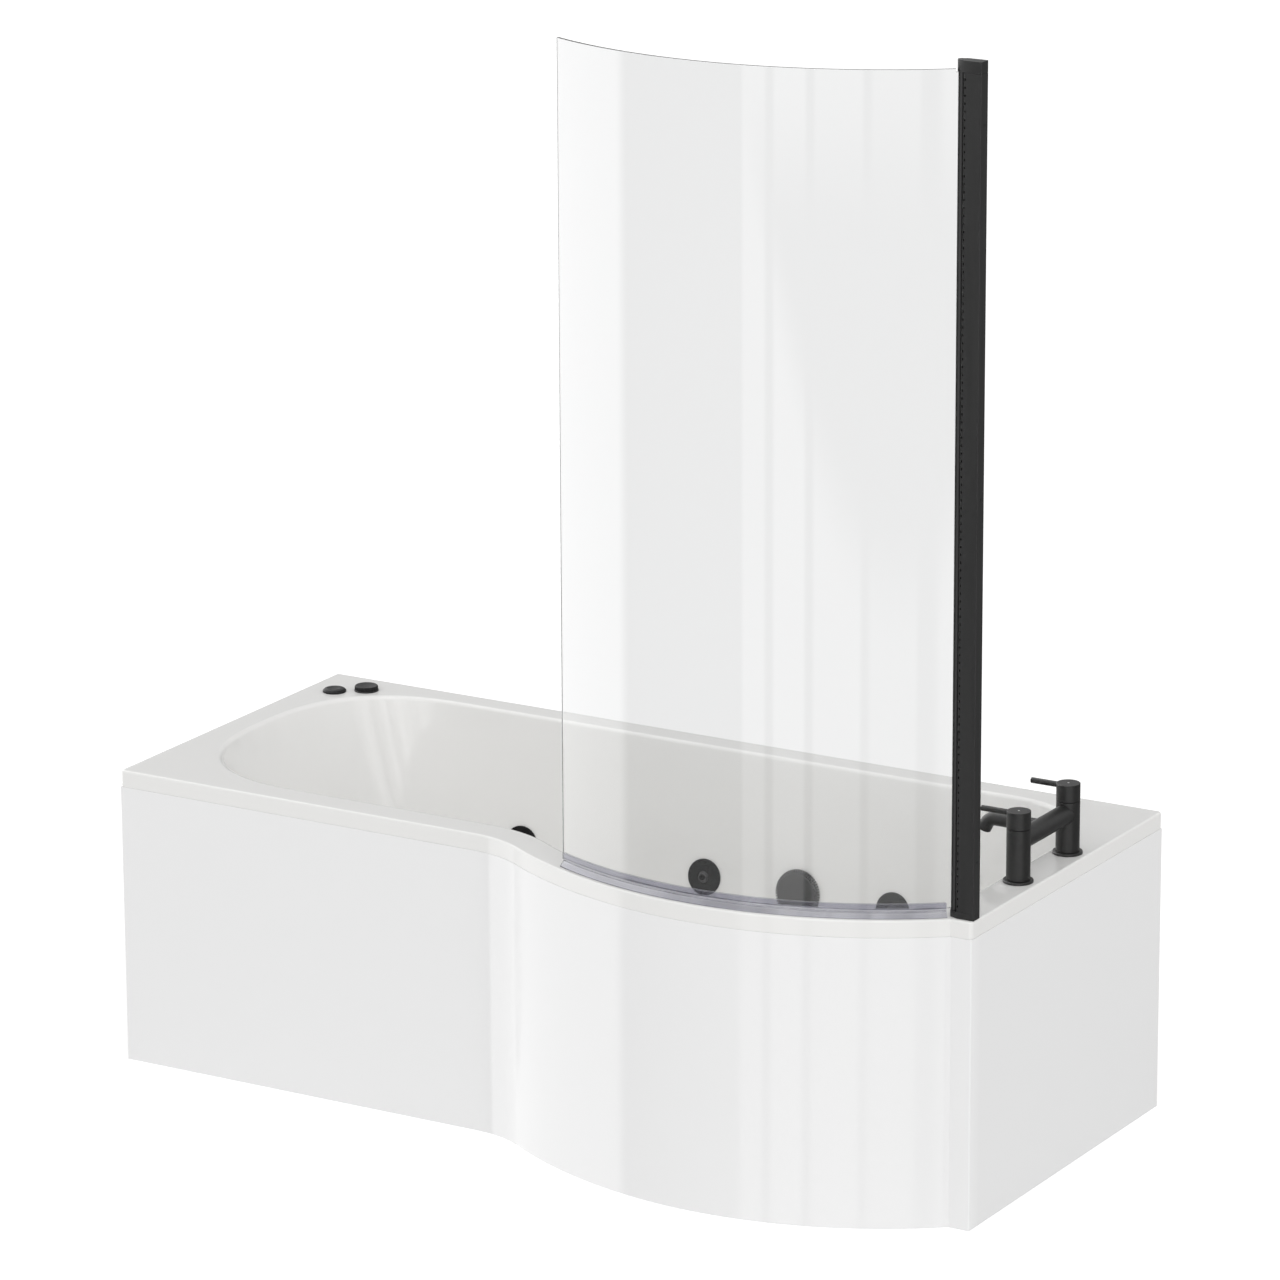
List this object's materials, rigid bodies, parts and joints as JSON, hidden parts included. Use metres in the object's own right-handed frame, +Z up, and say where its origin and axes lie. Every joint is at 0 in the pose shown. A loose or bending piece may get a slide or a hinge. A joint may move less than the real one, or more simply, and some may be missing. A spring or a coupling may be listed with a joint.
{
  "type": "p shaped shower bath",
  "caption": "Shower bath with massage jets, a bowed shower end, panels on the front and one end, a curved hinged glass screen, a bath filler and rim controls.",
  "frame": {"origin": "on the floor, under the middle of the outline of the rim and panels", "axes": "+X to the tap end, +Y to the long wall side, +Z up"},
  "size_m": [1.7, 0.8499, 1.97],
  "materials": {
    "white_acrylic": "moulded high gloss",
    "timber": "bare chipboard and softwood",
    "zinc_steel": "zinc plated",
    "grey_rubber": "moulded",
    "black_aluminium": "matt black powder coat on aluminium",
    "black_steel": "black",
    "black_plastic": "satin moulded",
    "pivot_steel": "ground",
    "gasket_rubber": "extruded",
    "clear_glass": "toughened, polished edge",
    "clear_seal": "clear soft extrusion",
    "matt_black": "matt black over brass",
    "mouth_grey": "moulded",
    "tail_brass": "machined",
    "polished_chrome": "polished",
    "white_plastic": "moulded pipe",
    "pump_plastic": "glass filled moulding",
    "motor_aluminium": "die cast, finned"
  },
  "bodies": {
    "bath": {"bath_shell": "white_acrylic", "base_board": "timber", "rim_battens": "timber", "tap_ledge_board": "timber", "leg_rail_left": "zinc_steel", "leg_rail_tap": "zinc_steel", "centre_plate": "zinc_steel", "leg_studs": "zinc_steel", "leg_nuts": "zinc_steel", "leg_feet": "grey_rubber", "front_panel": "white_acrylic", "end_panel": "white_acrylic", "panel_blocks": "timber", "wall_channel": "black_aluminium", "channel_screws": "black_steel", "top_pivot_block": "black_plastic", "bottom_pivot_block": "black_plastic", "pivot_pins": "pivot_steel", "tap_body": "matt_black", "aerator": "mouth_grey", "tap_flanges": "matt_black", "tap_tails": "tail_brass", "tap_washers": "grey_rubber", "tap_back_nuts": "tail_brass", "tap_cartridges": "tail_brass", "waste_flange": "polished_chrome", "waste_body": "white_plastic", "plug_guide": "white_plastic", "waste_trap": "white_plastic", "overflow_body": "white_plastic", "overflow_guide": "white_plastic", "overflow_hose": "white_plastic", "jet_bodies": "black_plastic", "suction_body": "black_plastic", "suction_cover": "black_plastic", "suction_pipe": "white_plastic", "water_ring": "white_plastic", "air_ring": "white_plastic", "pump_housing": "pump_plastic", "pump_motor": "motor_aluminium", "pump_base": "pump_plastic", "control_box": "pump_plastic", "air_control_body": "black_plastic", "on_off_body": "black_plastic"},
    "screen": {"hinge_profile": "black_aluminium", "glazing_gasket": "gasket_rubber", "glass_panel": "clear_glass", "bottom_seal": "clear_seal"},
    "cold_lever": {"cold_handle": "matt_black"},
    "hot_lever": {"hot_handle": "matt_black"},
    "plug": {"waste_plug": "polished_chrome"},
    "overflow_dial": {"overflow_knob": "polished_chrome"},
    "air_dial": {"air_control_knob": "black_plastic"},
    "push_button": {"on_off_button": "black_plastic"},
    "nozzle_1": {"jet_nozzle_1": "black_plastic"},
    "nozzle_2": {"jet_nozzle_2": "black_plastic"},
    "nozzle_3": {"jet_nozzle_3": "black_plastic"},
    "nozzle_4": {"jet_nozzle_4": "black_plastic"},
    "nozzle_5": {"jet_nozzle_5": "black_plastic"},
    "nozzle_6": {"jet_nozzle_6": "black_plastic"}
  },
  "joints": [
    {"name": "screen_hinge", "type": "hinge", "parent": "bath", "child": "screen", "pos_m": [0.8075, -0.25673, 1.25], "axis": [0, 0, 1], "range_deg": [-65, 50]},
    {"name": "cold_turn", "type": "hinge", "parent": "bath", "child": "cold_lever", "pos_m": [0.814, -0.043, 0.65], "axis": [0, 0, 1], "range_deg": [0, 90]},
    {"name": "hot_turn", "type": "hinge", "parent": "bath", "child": "hot_lever", "pos_m": [0.814, 0.137, 0.65], "axis": [0, 0, 1], "range_deg": [-90, 0]},
    {"name": "overflow_turn", "type": "hinge", "parent": "bath", "child": "overflow_dial", "pos_m": [0.7655, 0.047, 0.455], "axis": [-0.9858, 0, 0.1682], "range_deg": [0, 90]},
    {"name": "plug_lift", "type": "slide", "parent": "bath", "child": "plug", "axis": [0, 0, 1], "range_m": [0, 0.0102]},
    {"name": "air_turn", "type": "hinge", "parent": "bath", "child": "air_dial", "pos_m": [-0.743, 0.358, 0.545], "axis": [0, 0, 1], "range_deg": [0, 270]},
    {"name": "button_press", "type": "slide", "parent": "bath", "child": "push_button", "axis": [0, 0, -1], "range_m": [0, 0.003], "stiffness_N_per_m": 400, "springref_m": -0.003},
    {"name": "nozzle_1_swivel", "type": "hinge", "parent": "bath", "child": "nozzle_1", "pos_m": [-0.399, 0.33907, 0.305], "axis": [0, 0, 1], "range_deg": [-15, 15]},
    {"name": "nozzle_2_swivel", "type": "hinge", "parent": "bath", "child": "nozzle_2", "pos_m": [-0.015, 0.33907, 0.305], "axis": [0, 0, 1], "range_deg": [-15, 15]},
    {"name": "nozzle_3_swivel", "type": "hinge", "parent": "bath", "child": "nozzle_3", "pos_m": [0.369, 0.33907, 0.305], "axis": [0, 0, 1], "range_deg": [-15, 15]},
    {"name": "nozzle_4_swivel", "type": "hinge", "parent": "bath", "child": "nozzle_4", "pos_m": [-0.399, -0.17907, 0.305], "axis": [0, 0, 1], "range_deg": [-15, 15]},
    {"name": "nozzle_5_swivel", "type": "hinge", "parent": "bath", "child": "nozzle_5", "pos_m": [-0.18, -0.17907, 0.305], "axis": [0, 0, 1], "range_deg": [-15, 15]},
    {"name": "nozzle_6_swivel", "type": "hinge", "parent": "bath", "child": "nozzle_6", "pos_m": [0.388, -0.32759, 0.30521], "axis": [0, 0, 1], "range_deg": [-15, 15]}
  ],
  "couplings": [
    {"joint": "plug_lift", "follows": "overflow_turn", "m_per_rad": 0.006366}
  ]
}
